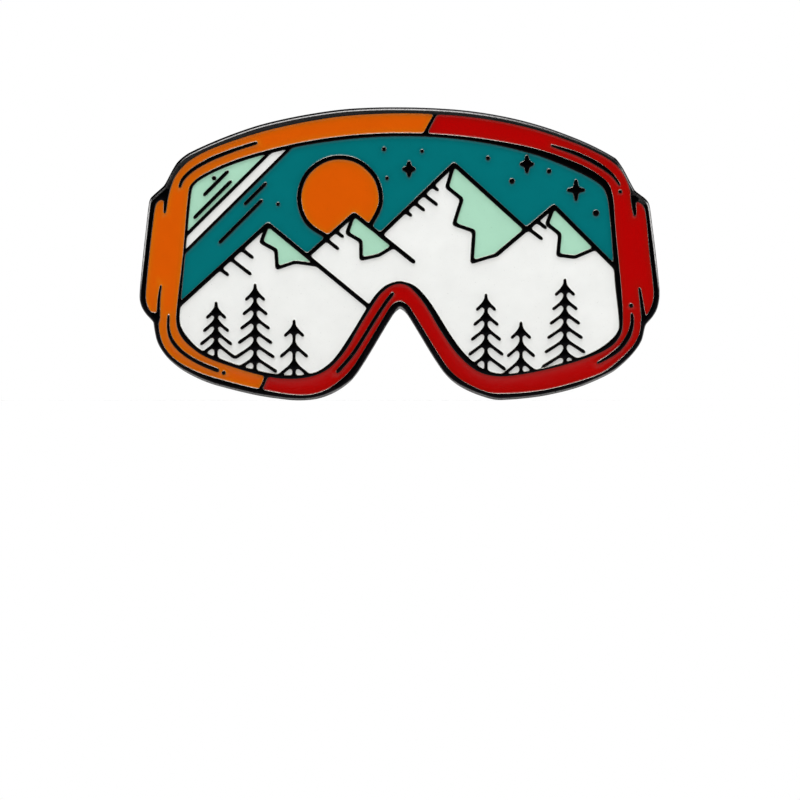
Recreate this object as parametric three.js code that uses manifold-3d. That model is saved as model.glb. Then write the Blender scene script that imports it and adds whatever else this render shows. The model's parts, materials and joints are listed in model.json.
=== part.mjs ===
// A soft enamel lapel pin in the outline of a pair of ski goggles, with a mountain scene in the lens.
//
// A die-struck metal blank carries raised lines, and coloured enamel fills the pockets between them.
// Two nail posts stand on the back, and a butterfly clutch slides on each of them.
//
// The pin stands as it is worn: +X to the wearer's left (the viewer's right), +Z up, and the art faces -Y.
// The origin is on the flat back face, midway between the two posts. All sizes are in millimetres.
//
// The art is drawn flat, as [right, up] points seen from the front. Heights over the back face grow
// towards the viewer, and the drawn group is turned upright at the end.
import * as THREE from "three";
import { mergeVertices } from "three/addons/utils/BufferGeometryUtils.js";
import Module from "manifold-3d";

const wasm = await Module();
wasm.setup();

// ---------------------------------------------------------------- driving dimensions

const PLATE = 1.8; // back face to the tops of the raised lines
const POCKET_FLOOR = 1.25; // height of the pocket floors
const ENAMEL_TOP = 1.62; // soft enamel dries a little below the lines
const EDGE_BEVEL = 0.26; // the tumbled front edge of the rim
const BACK_BEVEL = 0.07; // the sheared back edge, barely broken
const GAP = 0.012; // between enamel and metal, and between other pieces that touch
const SAG = 0.03; // how far a facet may lie inside its true curve
const CURVE_STEPS = 24; // trial points between two drawn points, before thinning

const POST_X = 15; // each post's distance from the middle
const POST_RADIUS = 0.55;
const POST_LENGTH = 8.2;
const POST_HEAD_RADIUS = 2;
const POST_SEAT_DEPTH = 0.3; // round seat sunk in the back for the post's head
const NECK_AT = 5.75; // the groove that the clutch's jaws snap into
const POST_SIDES = 16;

const CLOTH = 2.2; // room for the garment between back and clutch
const CLUTCH_RADIUS = 5.7;
const CLUTCH_SIDES = 24;
const SHEET = 0.35; // clutch sheet metal
const LIP_HEIGHT = 0.75; // of the clutch's rolled edge
const CUP_RADIUS = 3.2;
const CUP_HEIGHT = 1.9;
const CUP_WALL = 0.3;
const GUIDE_RADIUS = 0.75; // hole that the post runs through
const STRIP_HALF = 2.35; // half the length of the spring strip in the cup
const STRIP_WIDTH = 2.4;
const STRIP_HEIGHT = 1.55; // top of the strip's upturned ends
const STRIP_SHEET = 0.3;
const WING_HALF = 4; // half the width of the sheet that a wing is cut from

// ---------------------------------------------------------------- colours

const metal = (color, roughness) => ({ color, roughness, metalness: 1 });
const enamel = (color) => ({ color, roughness: 0.16, metalness: 0 });
const BLACK_NICKEL = metal("#0d0d10", 0.3);
const BRIGHT_NICKEL = metal("#c9c8c4", 0.26);
const ORANGE = enamel("#d85800");
const RED = enamel("#ae0500");
const TEAL = enamel("#006e73");
const MINT = enamel("#a8d9bc");
const SNOW = enamel("#eef0ec");

// ---------------------------------------------------------------- flat drawing

const point = ([x, y]) => new THREE.Vector2(x, y);

// Keeps only the points that hold a polyline within SAG of itself.
function thin(points) {
  const first = points[0];
  const last = points.at(-1);
  const along = last.clone().sub(first).normalize();
  let farthest = SAG;
  let at = 0;
  points.forEach((p, i) => {
    const away = Math.abs(along.cross(p.clone().sub(first)));
    if (away > farthest) [farthest, at] = [away, i];
  });
  if (!at) return [first, last];
  return [...thin(points.slice(0, at + 1)).slice(0, -1), ...thin(points.slice(at))];
}

// A smooth curve through the given points.
function curve(points) {
  if (points.length < 3) return points.map(point);
  const spline = new THREE.SplineCurve(points.map(point));
  return thin(spline.getPoints((points.length - 1) * CURVE_STEPS));
}

// A closed outline. Each stretch is smooth and starts where the one before it ends, at a corner.
function outline(...stretches) {
  let start = stretches.at(-1).at(-1);
  const points = [];
  for (const stretch of stretches) {
    points.push(...curve([start, ...stretch]).slice(1));
    start = stretch.at(-1);
  }
  return THREE.ShapeUtils.isClockWise(points) ? points.reverse() : points;
}

// The unit normal to the left of the way from a to b.
function leftOf(a, b) {
  const way = b.clone().sub(a).normalize();
  return new THREE.Vector2(-way.y, way.x);
}

// Where a corner goes when the two edges that meet in it both move by `by` along their left normals.
function mitre(before, corner, after, by) {
  const n = leftOf(before, corner);
  const m = leftOf(corner, after);
  const middle = n.clone().add(m).normalize();
  return corner.clone().addScaledVector(middle, by / Math.max(middle.dot(n), 0.35));
}

// The point as far past b as a is before it.
const beyond = (a, b) => b.clone().multiplyScalar(2).sub(a);

// A closed outline moved inwards (or outwards, where `by` is negative).
function inset(points, by) {
  const around = (i) => points.at(i % points.length);
  return points.map((p, i) => mitre(around(i - 1), p, around(i + 1), by));
}

// A raised line: the outline of a stroke along a smooth curve, with round ends.
// `widths` is one width, or several spread evenly from the start to the end.
function stroke(points, widths, grow = 0) {
  const path = curve(points);
  const list = widths.length ? widths : [widths, widths];
  const steps = path.map((p, i) => (i ? p.distanceTo(path[i - 1]) : 0));
  const total = steps.reduce((sum, step) => sum + step);
  let run = 0;
  const halves = steps.map((step) => {
    run += step;
    const place = (run / total) * (list.length - 1);
    const from = Math.min(Math.floor(place), list.length - 2);
    return THREE.MathUtils.lerp(list[from], list[from + 1], place - from) / 2 + grow;
  });
  const side = (sign) =>
    path.map((p, i) => {
      const before = path[i - 1] ?? beyond(path[i + 1], p);
      const after = path[i + 1] ?? beyond(path[i - 1], p);
      return mitre(before, p, after, sign * halves[i]);
    });
  const cap = (end, from, half) =>
    [-1, 1].map((turn) => {
      const out = end.clone().sub(from).normalize().multiplyScalar(half);
      return out.rotateAround(new THREE.Vector2(), (turn * Math.PI) / 6).add(end);
    });
  return [
    ...side(-1),
    ...cap(path.at(-1), path.at(-2), halves.at(-1)),
    ...side(1).reverse(),
    ...cap(path[0], path[1], halves[0]),
  ];
}

// Points evenly round a circle.
function round([x, y], radius, count) {
  return Array.from({ length: count }, (_, i) => {
    const angle = (2 * Math.PI * i) / count;
    return [x + radius * Math.cos(angle), y + radius * Math.sin(angle)];
  });
}

// ---------------------------------------------------------------- solids

function solidOf(geometry) {
  geometry.deleteAttribute("normal");
  geometry.deleteAttribute("uv");
  const merged = mergeVertices(geometry, 1e-5);
  return new wasm.Manifold(
    new wasm.Mesh({
      numProp: 3,
      vertProperties: merged.attributes.position.array,
      triVerts: new Uint32Array(merged.index.array),
    }),
  );
}

function geometryOf({ vertProperties, triVerts }) {
  const geometry = new THREE.BufferGeometry();
  geometry.setAttribute("position", new THREE.BufferAttribute(vertProperties, 3));
  geometry.setIndex(new THREE.BufferAttribute(triVerts, 1));
  geometry.computeVertexNormals();
  return geometry;
}

// The prism over an outline between two heights, with holes if it has any.
function prism(points, low, high, holes = []) {
  const shape = new THREE.Shape(points);
  shape.holes = holes.map((hole) => new THREE.Path(hole));
  const geometry = new THREE.ExtrudeGeometry(shape, { depth: high - low, bevelEnabled: false });
  return solidOf(geometry.translate(0, 0, low));
}

const joined = (solids) => solids.reduce((all, next) => all.add(next));

// The separate closed bodies of a solid, each as the list of its triangles.
function bodiesOf({ vertProperties, triVerts }) {
  const parent = Array.from({ length: vertProperties.length / 3 }, (_, i) => i);
  const top = (i) => {
    while (parent[i] !== i) i = parent[i] = parent[parent[i]];
    return i;
  };
  for (let t = 0; t < triVerts.length; t += 3) {
    parent[top(triVerts[t + 1])] = top(triVerts[t]);
    parent[top(triVerts[t + 2])] = top(triVerts[t]);
  }
  const bodies = new Map();
  for (let t = 0; t < triVerts.length; t += 3) {
    const key = top(triVerts[t]);
    if (!bodies.has(key)) bodies.set(key, []);
    bodies.get(key).push(...triVerts.slice(t, t + 3));
  }
  return [...bodies.values()].map((corners) => {
    const used = [...new Set(corners)];
    const place = new Map(used.map((old, i) => [old, i]));
    const kept = used.flatMap((i) => [...vertProperties.slice(3 * i, 3 * i + 3)]);
    return {
      vertProperties: new Float32Array(kept),
      triVerts: new Uint32Array(corners.map((i) => place.get(i))),
    };
  });
}

// Is the drawn point inside this body, seen from the front?
function covers({ vertProperties, triVerts }, seed) {
  const corner = (i) => new THREE.Vector3(vertProperties[3 * i], vertProperties[3 * i + 1], 0);
  const spot = new THREE.Vector3(...seed, 0);
  for (let t = 0; t < triVerts.length; t += 3) {
    const [a, b, c] = [0, 1, 2].map((k) => corner(triVerts[t + k]));
    const facing = b.clone().sub(a).cross(c.clone().sub(a)).z;
    if (facing > 1e-9 && THREE.Triangle.containsPoint(spot, a, b, c)) return true;
  }
  return false;
}

// ---------------------------------------------------------------- outlines of the goggles

// The edge of the metal, clockwise: brow, right strap tab, right lens, nose, left lens, left strap tab.
const EDGE = outline(
  [[-18, 11.15], [-14, 12.55], [-10, 13.45], [-6, 14.07], [-2, 14.3], [2, 14.27], [6, 14.05],
    [10, 13.47], [14, 12.5], [18, 11.05], [20, 10.1], [21.6, 9.2]],
  [[22.2, 8.4], [22.9, 7.1], [23.5, 6]],
  [[24.2, 5.45], [24.72, 5], [25, 4.4], [25.25, 2.6], [25.55, 0], [25.86, -2.8], [26, -4.4],
    [25.77, -5.8], [25.28, -6.7], [24.6, -7.5]],
  [[24.4, -8.4], [24.1, -9.25], [23.25, -10.44], [22, -11.65], [20.75, -12.5], [18.25, -13.6],
    [15.75, -14.3], [13.25, -14.75], [10.1, -15], [8.87, -14.8], [7.6, -14.4], [6.2, -13.75],
    [5.2, -13.05], [4.3, -12.1], [3, -10.15], [1.2, -7.15], [0.6, -6.25], [0, -5.8]],
  [[-0.6, -6.32], [-1.2, -7.3], [-3, -10.3], [-4.5, -12.6], [-5.5, -13.55], [-6.5, -14.2],
    [-7.8, -14.75], [-9.2, -15], [-11, -15], [-14.5, -14.5], [-18.5, -13.5], [-20.3, -12.8],
    [-21.8, -12], [-23, -11.05], [-23.8, -10.1], [-24.33, -9.1], [-24.6, -7.9], [-24.7, -7.2]],
  [[-25.15, -6.7], [-25.65, -6.1], [-26, -5.3], [-26.07, -4.3], [-25.9, -2.5], [-25.63, 0.3],
    [-25.32, 3.2], [-25.1, 4.9], [-24.8, 5.4], [-24.2, 5.95], [-23.6, 6.5]],
  [[-23.15, 7.3], [-22.5, 8.5], [-22, 9.1], [-21.2, 9.7]],
);

// The outer edge of the coloured frame, inside the rim.
const FRAME_OUTER = outline(
  [[-20, 9.62], [-18, 10.5], [-14, 11.82], [-10, 12.75], [-6, 13.4], [-2, 13.67], [2, 13.7], [6, 13.45],
    [10, 12.9], [14, 11.95], [18, 10.55], [20, 9.6], [21, 9.05], [21.8, 8.4], [22.4, 7.6], [22.8, 6.8],
    [23.05, 6], [23.25, 4.9]],
  [[23.9, 4.85], [24.4, 4.35], [24.65, 3.2], [25, -0.5], [25.3, -3], [25.4, -4.7], [25.1, -5.8],
    [24.65, -6.65]],
  [[24.35, -6.55], [24.15, -6.9]],
  [[24.05, -8], [23.75, -8.9], [22.9, -10.1], [21, -11.8], [19.5, -12.6], [17, -13.4], [14.5, -14],
    [12, -14.3], [10.1, -14.37], [8.9, -14.28], [7.6, -13.8], [6.5, -13.25], [5.5, -12.55],
    [4.5, -11.45], [3, -9.1], [1.3, -6.3], [0.7, -5.45], [0, -5.08]],
  [[-0.7, -5.4], [-1.3, -6.25], [-3, -9.05], [-4.6, -11.6], [-5.5, -12.6], [-6.5, -13.45],
    [-7.5, -14.05], [-9, -14.48], [-11, -14.45], [-14.3, -13.88], [-17, -13.2], [-19, -12.65],
    [-20.5, -12.1], [-22, -11.3], [-23, -10.5], [-23.7, -9.5], [-24.1, -8.2], [-24.2, -6.8]],
  [[-24.4, -6.25], [-24.8, -6.3], [-25.15, -5.9], [-25.45, -4.9], [-25.4, -3.6], [-25.15, -1.5],
    [-24.8, 2.2], [-24.6, 3.8], [-24.4, 4.65], [-24, 5.05], [-23.3, 4.95]],
  [[-23, 6], [-22.7, 7], [-22.2, 7.85], [-21.3, 8.8]],
);

// The inner edge of the coloured frame, where the dark line round the lens begins.
const FRAME_INNER = outline(
  [[-19.7, 7.52], [-17.5, 8.6], [-14.5, 9.63], [-10, 10.73], [-6, 11.35], [-2, 11.66], [2.2, 11.68],
    [6, 11.4], [10, 10.85], [14, 10], [18, 8.55], [20, 7.4], [20.9, 6.5], [21.3, 5.2]],
  [[21.5, 2.5], [21.85, -1], [22.15, -4.5], [22.25, -7.4], [21.95, -8.6], [21.1, -9.6], [19.5, -10.45],
    [17, -11.3], [14, -12.05], [11, -12.55], [9, -12.5], [7.4, -11.85], [5.7, -10.3], [4.2, -8.2],
    [2.5, -5.4], [1.6, -4.3], [0.9, -3.6], [0, -3.3]],
  [[-0.9, -3.55], [-1.8, -4.2], [-2.5, -5.1], [-4.2, -7.85], [-5.2, -9.6], [-6.1, -10.8], [-7, -11.7],
    [-8.2, -12.4], [-10, -12.8], [-12.5, -12.75], [-15.5, -12.05], [-19, -10.85], [-20.3, -10.1],
    [-21.4, -9.2], [-22.1, -8.2], [-22.35, -7.2], [-22.3, -5.8], [-21.9, -2.5], [-21.5, 1.5],
    [-21.2, 5.2]],
  [[-21.05, 6.25], [-20.55, 6.9]],
);

// The edge of the lens, where the dark line round it ends.
const LENS = outline(
  [[-19.2, 7.53], [-17, 8.5], [-14, 9.47], [-10, 10.42], [-6, 11.03], [-2, 11.36], [2, 11.4], [6, 11.1],
    [10, 10.45], [14, 9.4], [17.5, 7.98], [19.3, 7.05], [20.3, 6.3], [20.75, 5.3]],
  [[21, 3.5], [21.3, -0.5], [21.65, -4.5], [21.95, -7.3], [21.75, -8.25], [21, -9.1], [19.5, -10.12],
    [17.5, -10.92], [14.5, -11.78], [11.5, -12.32], [9.8, -12.35], [8.2, -11.87], [6.8, -10.75],
    [5.4, -9.05], [3.4, -5.85], [2.2, -4.28], [1.2, -3.45], [0, -3.1]],
  [[-1.2, -3.42], [-2.15, -4.2], [-2.95, -5.25], [-4.72, -8.15], [-5.62, -9.6], [-6.5, -10.8],
    [-7.4, -11.65], [-8.6, -12.28], [-10.5, -12.55], [-13, -12.32], [-16.2, -11.52], [-19.4, -10.3],
    [-20.75, -9.33], [-21.78, -8], [-22.08, -6.9], [-21.95, -5.3], [-21.5, -0.5], [-21.1, 4]],
  [[-20.86, 6.05], [-20.42, 6.75]],
);

// ---------------------------------------------------------------- raised lines

const frameLines = [
  // where the orange half of the frame meets the red half, on the brow and under the left lens
  [[[3.68, 13.8], [3, 12.6], [2.45, 11.5]], [0.24, 0.26, 0.34]],
  [[[-13.3, -12.4], [-13.6, -13.2], [-14.05, -14.15]], [0.3, 0.24, 0.3]],
  // grooves of the padded frame, beginning at the top left and running clockwise
  [[[-22.05, 6.27], [-21.8, 6.95], [-21.35, 7.5], [-20.5, 8.2], [-18.75, 9.18], [-16, 10.22],
    [-14.3, 10.75]], [0.24, 0.34, 0.26]],
  [[[15.05, 10.5], [17.5, 9.7], [19.5, 8.75], [21.1, 7.65], [22.05, 6.4]], [0.16, 0.34, 0.36, 0.1]],
  [[[23.18, -6.3], [23.22, -7.3], [22.9, -8.5], [22, -9.8], [20.8, -10.7], [19.65, -11.35]],
    [0.2, 0.4, 0.38, 0.12]],
  [[[-0.7, -4.3], [-1.5, -5.35], [-2.9, -7.5], [-3.7, -8.85], [-4.8, -10.5], [-6.3, -12.2]],
    [0.3, 0.3, 0.3]],
  [[[-23.15, -6.4], [-23.15, -8], [-22.7, -9.2], [-21.6, -10.35], [-20, -11.3], [-18.2, -12.05]],
    [0.16, 0.3, 0.3, 0.36]],
  // creases that set the strap tabs off from the frame
  [[[-23.35, 5.6], [-23.45, 4.8], [-23.55, 3.65]], [0.4, 0.28, 0.14]],
  [[[-23.9, -3.45], [-24.08, -4.6], [-24.2, -7]], [0.12, 0.24, 0.34]],
  [[[23.3, 5.4], [23.42, 4.4], [23.5, 3.4]], [0.5, 0.32, 0.2]],
  [[[23.95, -3.75], [24.1, -5], [24.4, -7]], [0.2, 0.32, 0.4]],
];
const frameDots = [[-17.63, -12.28, 0.18], [22.03, 5.85, 0.17], [23.12, -5.55, 0.2]];

// The picture in the lens is a plain stock scene: peaks with one shaded side, a low sun, firs and stars.
const RIDGE = 0.36; // width of a ridge
const SHADE = 0.3; // width of the edge of a shaded face
const HATCH = 0.28; // width of a hatching stroke
const HATCH_WAY = [0.79, -0.61]; // hatching runs down the slope to the right
const GLARE_WAY = [-0.71, -0.71];

// Straight strokes from each point to the next.
const strokes = (points, width) => points.slice(1).map((end, i) => [[points[i], end], width]);

// A short stroke of a given length.
const dash = ([x, y], way, length) => [[[x, y], [x + way[0] * length, y + way[1] * length]], HATCH];

// A peak: its two ridges, the jagged edge of its shaded face, and hatching that hangs from its left
// ridge, as [share of the way down, length].
const peaks = [
  {
    left: [-22.2, -5.6], top: [-13.2, 2.6], right: [-3.2, -5.6],
    shade: [[-13.9, 0.8], [-12.4, 0], [-12.3, -1.8], [-10.5, -1.2], [-8.2, -1.5]],
    hatches: [[0.3, 1.5], [0.42, 2.6], [0.54, 1.1]],
  },
  {
    left: [-9.3, -0.6], top: [-4.6, 3.6], right: [1.4, -1.2],
    shade: [[-5.3, 1.7], [-3.9, 0.9], [-3.9, -0.9], [-2.1, -0.5], [-0.6, 0.4]],
    hatches: [[0.4, 1], [0.6, 1.6]],
  },
  {
    left: [-2, 1.5], top: [5.4, 8.6], right: [12.7, 2],
    shade: [[4.7, 6.3], [6.2, 5.1], [5.4, 2.6], [7.4, 1.9], [7.2, -1.2], [9.6, -0.5]],
    hatches: [[0.3, 0.8], [0.42, 1.8], [0.54, 1.3], [0.66, 0.8]],
  },
  {
    left: [9.6, -0.5], top: [15.4, 4.4], right: [22, -2.2],
    shade: [[14.7, 2.6], [16, 1.6], [15.8, -0.5], [17.5, -0.7], [19.6, 0.2]],
    hatches: [[0.3, 1.2], [0.45, 1.8]],
  },
];

function peak({ left, top, right, shade, hatches }) {
  const down = ([share, length]) => {
    const start = point(top).lerp(point(left), share);
    return dash([start.x, start.y], HATCH_WAY, length);
  };
  return [...strokes([left, top, right], RIDGE), ...strokes([top, ...shade], SHADE), ...hatches.map(down)];
}

// The sun's outline, from the left ridge of the second peak round to its right ridge. Angles in degrees.
const SUN = { x: -6, y: 5.2, radius: 4.1, from: 253, to: -44, points: 9, width: 0.38 };

function sunline() {
  const points = Array.from({ length: SUN.points }, (_, i) => {
    const angle = THREE.MathUtils.degToRad(THREE.MathUtils.lerp(SUN.from, SUN.to, i / (SUN.points - 1)));
    return [SUN.x + SUN.radius * Math.cos(angle), SUN.y + SUN.radius * Math.sin(angle)];
  });
  return [points, SUN.width];
}

const lensLines = [
  // the two edges of the glare stripe, and streaks that run along it on both sides
  [[[-13, 9.8], [-21.5, 1.4]], 0.26],
  [[[-11, 10.2], [-21.6, -0.3]], 0.24],
  dash([-17.2, 7.9], GLARE_WAY, 3.4),
  dash([-16.9, 6.9], GLARE_WAY, 5.2),
  dash([-13.4, 6.7], GLARE_WAY, 3),
  dash([-13.8, 5], GLARE_WAY, 6),
  ...peaks.flatMap(peak),
  sunline(),
];

// Distant stars: centre and radius. Near stars: centre, half height, half width.
const lensDots = [
  [-18.6, 7.2, 0.2], [-1.3, 7.2, 0.17], [-1.6, 10.1, 0.2], [2.2, 9.9, 0.16], [8.8, 9.2, 0.2],
  [11.2, 6.9, 0.26], [14.9, 7.9, 0.22], [19.6, 3.7, 0.3], [-12.2, 4.6, 0.16],
];
const stars = [[0.9, 8.1, 0.85, 0.7], [12.7, 8.6, 0.95, 0.75], [17.6, 6, 1.1, 0.95]];

// Firs: the trunk's foot and top, half the width of the lowest branches, and the number of tiers.
const firs = [
  { x: -18.4, foot: -10.9, top: -5.2, reach: 1.9, tiers: 4 },
  { x: -14.5, foot: -12.3, top: -3.4, reach: 2.2, tiers: 6 },
  { x: -10.6, foot: -12.9, top: -7, reach: 1.8, tiers: 3 },
  { x: 8.6, foot: -12.1, top: -4.4, reach: 2, tiers: 5 },
  { x: 12.1, foot: -12.6, top: -7.2, reach: 1.8, tiers: 3 },
  { x: 16.5, foot: -11.8, top: -2.9, reach: 2.3, tiers: 6 },
];
const TRUNK = 0.26;
const LEADER = 0.9; // bare top of the trunk, over the first tier
const BARE_FOOT = 0.1; // bare trunk, under the lowest tier's tips
const TOP_REACH = 1; // half the width of the first tier
const TOP_DROOP = 0.75; // how far the first tier's tips hang
const LOW_DROOP = 1.35; // and the lowest tier's
const BRANCH = 0.27; // width of a branch at its tip

// How a tier of branches grows out of the trunk: points [out, up] from where it is placed.
const CROWN = [0, 0.75];
const SHOULDER = [0.17, 0.35];
const ROOT_TOP = [0.42, -0.02];
const ROOT_UNDER = [0.4, -0.32];
const ARMPIT = [0.14, -0.5];

// A star's waist between two points, and half the width of its points.
const STAR_WAIST = 0.24;
const STAR_TIP = 0.13;

function star([x, y, tall, wide], grow) {
  const waist = STAR_WAIST + grow;
  const tip = STAR_TIP + grow;
  const quarter = (u, v, across) => [
    [u * (across ? wide : tip), v * (across ? tip : tall)],
    [u * waist, v * waist],
    [u * (across ? tip : wide), v * (across ? tall : tip)],
  ];
  const points = [
    ...quarter(1, 1, true), ...quarter(-1, 1, false), ...quarter(-1, -1, true), ...quarter(1, -1, false),
  ];
  return points.map(([u, v]) => new THREE.Vector2(x + u, y + v));
}

// One tier of a fir: two drooping branches that flare out of the trunk at `at`.
function tier(at, reach, droop, grow) {
  const near = ([out, up], side) => new THREE.Vector2(at.x + side * out, at.y + up);
  const branch = (side) => {
    const end = near([reach, -droop], side);
    const way = end.clone().sub(at).normalize();
    const across = new THREE.Vector2(-way.y, way.x).multiplyScalar(side * (BRANCH / 2 + grow));
    return [
      near([SHOULDER[0] + grow, SHOULDER[1]], side),
      near([ROOT_TOP[0], ROOT_TOP[1] + grow], side),
      end.clone().add(across),
      end.clone().sub(across),
      near([ROOT_UNDER[0], ROOT_UNDER[1] - grow], side),
      near([ARMPIT[0] + grow, ARMPIT[1]], side),
    ];
  };
  return [near(CROWN, 0), ...branch(-1), ...branch(1).reverse()];
}

// A fir's trunk and its tiers, which widen and droop more towards the foot.
function fir({ x, foot, top, reach, tiers }, grow) {
  const { lerp } = THREE.MathUtils;
  const branches = Array.from({ length: tiers }, (_, i) => {
    const down = i / (tiers - 1);
    const at = new THREE.Vector2(x, lerp(top - LEADER, foot + LOW_DROOP + BARE_FOOT, down));
    return tier(at, lerp(TOP_REACH, reach, down), lerp(TOP_DROOP, LOW_DROOP, down), grow);
  });
  return [stroke([[x, foot], [x, top]], TRUNK, grow), ...branches];
}

// Every raised line on a field, as one solid between two heights, each widened by `grow` all round.
function raised(field, low, high, grow) {
  return joined(field(grow).map((points) => prism(points, low, high)));
}

const dot = ([x, y, radius], grow) => round([x, y], radius + grow, 6).map(point);

const onFrame = (grow) => [
  ...frameLines.map(([points, widths]) => stroke(points, widths, grow)),
  ...frameDots.map((place) => dot(place, grow)),
];

const onLens = (grow) => [
  ...lensLines.map(([points, widths]) => stroke(points, widths, grow)),
  ...lensDots.map((place) => dot(place, grow)),
  ...stars.map((place) => star(place, grow)),
  ...firs.flatMap((place) => fir(place, grow)),
];

// ---------------------------------------------------------------- enamel cells

// Each cell is found by a point inside it: [name, colour, point].
const frameCells = [
  ["enamel_frame_orange", ORANGE, [-23, 2]],
  ["enamel_frame_red", RED, [24, 0]],
];
const lensCells = [
  ["enamel_sky", TEAL, [5.5, 10.5]],
  ["enamel_sun", ORANGE, [-6, 6.5]],
  ["enamel_glare_mint", MINT, [-15.5, 8.6]],
  ["enamel_glare_white", SNOW, [-17, 5.2]],
  ["enamel_shade_left", MINT, [-11.7, 0.4]],
  ["enamel_shade_middle", MINT, [-3, 1.3]],
  ["enamel_shade_main", MINT, [8.3, 3.2]],
  ["enamel_shade_right", MINT, [16.9, 1.4]],
  ["enamel_snow_left", SNOW, [-17.5, -4]],
  ["enamel_snow_main", SNOW, [2, 2]],
  ["enamel_snow_under_fir1", SNOW, [-18.9, -10.3]],
  ["enamel_snow_between_firs", SNOW, [-16.5, -10.9]],
  ["enamel_snow_under_fir2", SNOW, [-15, -11.6]],
  ["enamel_snow_under_fir3_left", SNOW, [-11.15, -12.25]],
  ["enamel_snow_under_fir3_right", SNOW, [-10.1, -12.25]],
  ["enamel_snow_under_fir4", SNOW, [8.15, -11.5]],
  ["enamel_snow_under_fir5_left", SNOW, [11.5, -12]],
  ["enamel_snow_under_fir5_right", SNOW, [12.6, -11.9]],
  ["enamel_snow_under_fir6_left", SNOW, [15.6, -11.25]],
  ["enamel_snow_under_fir6_right", SNOW, [16.9, -10.95]],
];

// The bodies of a solid that the listed cells name, in their order.
function cellsOf(solid, cells) {
  const bodies = bodiesOf(solid.getMesh());
  return cells.map(([name, , seed]) => {
    const found = bodies.filter((body) => covers(body, seed));
    if (found.length !== 1) throw new Error(`${name} is in ${found.length} bodies`);
    return found[0];
  });
}

// The frame's field and the lens's field, less the lines that stand on them.
const fields = (low, high, shrink) => [
  prism(inset(FRAME_OUTER, shrink), low, high, [inset(FRAME_INNER, -shrink)])
    .subtract(raised(onFrame, low - 1, high + 1, shrink)),
  prism(inset(LENS, shrink), low, high).subtract(raised(onLens, low - 1, high + 1, shrink)),
];

// ---------------------------------------------------------------- the struck base

// A block, longer and wider than the pin, that trims the blank off flat behind.
const SHEAR = [60, 40, 2];

function blank() {
  const depth = PLATE + EDGE_BEVEL - BACK_BEVEL;
  const geometry = new THREE.ExtrudeGeometry(new THREE.Shape(EDGE), {
    depth: depth - 2 * EDGE_BEVEL,
    bevelSize: EDGE_BEVEL,
    bevelThickness: EDGE_BEVEL,
    bevelOffset: -EDGE_BEVEL,
    bevelSegments: 2,
  });
  const [length, width, thick] = SHEAR;
  const sheared = new THREE.BoxGeometry(length, width, thick).translate(0, 0, -thick / 2);
  return solidOf(geometry.translate(0, 0, PLATE - depth + EDGE_BEVEL)).subtract(solidOf(sheared));
}

function struckBase() {
  const pockets = fields(POCKET_FLOOR, PLATE + 1, 0);
  const solidCell = (body) => new wasm.Manifold(new wasm.Mesh({ numProp: 3, ...body }));
  const cut = [...cellsOf(pockets[0], frameCells), ...cellsOf(pockets[1], lensCells)].map(solidCell);
  const seats = [-POST_X, POST_X].map((x) =>
    prism(round([x, 0], POST_HEAD_RADIUS + GAP, POST_SIDES).map(point), -1, POST_SEAT_DEPTH),
  );
  return geometryOf(blank().subtract(joined([...cut, ...seats])).getMesh());
}

// ---------------------------------------------------------------- posts and clutches

// A lathe-turned solid about the post's axis, from [radius, distance behind the pin] points.
const turned = (points, sides) => new THREE.LatheGeometry(points.map(point), sides);

function post() {
  const neck = POST_RADIUS - 0.12;
  const under = GAP - POST_SEAT_DEPTH;
  return turned([
    [0, under], [POST_HEAD_RADIUS, under], [POST_HEAD_RADIUS, 0.03], [0.68, 0.05],
    [POST_RADIUS, 0.18], [POST_RADIUS, NECK_AT - 0.15], [neck, NECK_AT], [neck, NECK_AT + 0.3],
    [POST_RADIUS, NECK_AT + 0.45], [POST_RADIUS, POST_LENGTH - 0.9], [0.3, POST_LENGTH - 0.2],
    [0, POST_LENGTH],
  ], POST_SIDES);
}

function clutchShell() {
  const inner = CUP_RADIUS - CUP_WALL;
  const lip = CLUTCH_RADIUS - SHEET;
  return turned([
    [GUIDE_RADIUS, 0], [lip, 0], [CLUTCH_RADIUS, 0.25], [CLUTCH_RADIUS, LIP_HEIGHT], [lip, LIP_HEIGHT],
    [lip - 0.05, SHEET], [CUP_RADIUS + 0.1, SHEET], [CUP_RADIUS, SHEET + 0.15], [CUP_RADIUS, CUP_HEIGHT],
    [inner, CUP_HEIGHT], [inner, SHEET], [GUIDE_RADIUS, SHEET], [GUIDE_RADIUS, 0],
  ], CLUTCH_SIDES);
}

// The flat spring strip in the cup, with upturned ends that the wings rock on.
function clutchStrip() {
  const low = SHEET + GAP;
  const high = low + STRIP_SHEET;
  const outside = STRIP_HALF;
  const inside = outside - STRIP_SHEET;
  const profile = [
    [-outside, low], [outside, low], [outside, STRIP_HEIGHT], [inside, STRIP_HEIGHT], [inside, high],
    [-inside, high], [-inside, STRIP_HEIGHT], [-outside, STRIP_HEIGHT],
  ];
  const strip = prism(profile.map(point), -STRIP_WIDTH / 2, STRIP_WIDTH / 2);
  const hole = new THREE.CylinderGeometry(GUIDE_RADIUS, GUIDE_RADIUS, 3, POST_SIDES);
  return geometryOf(strip.subtract(solidOf(hole)).getMesh());
}

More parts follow.
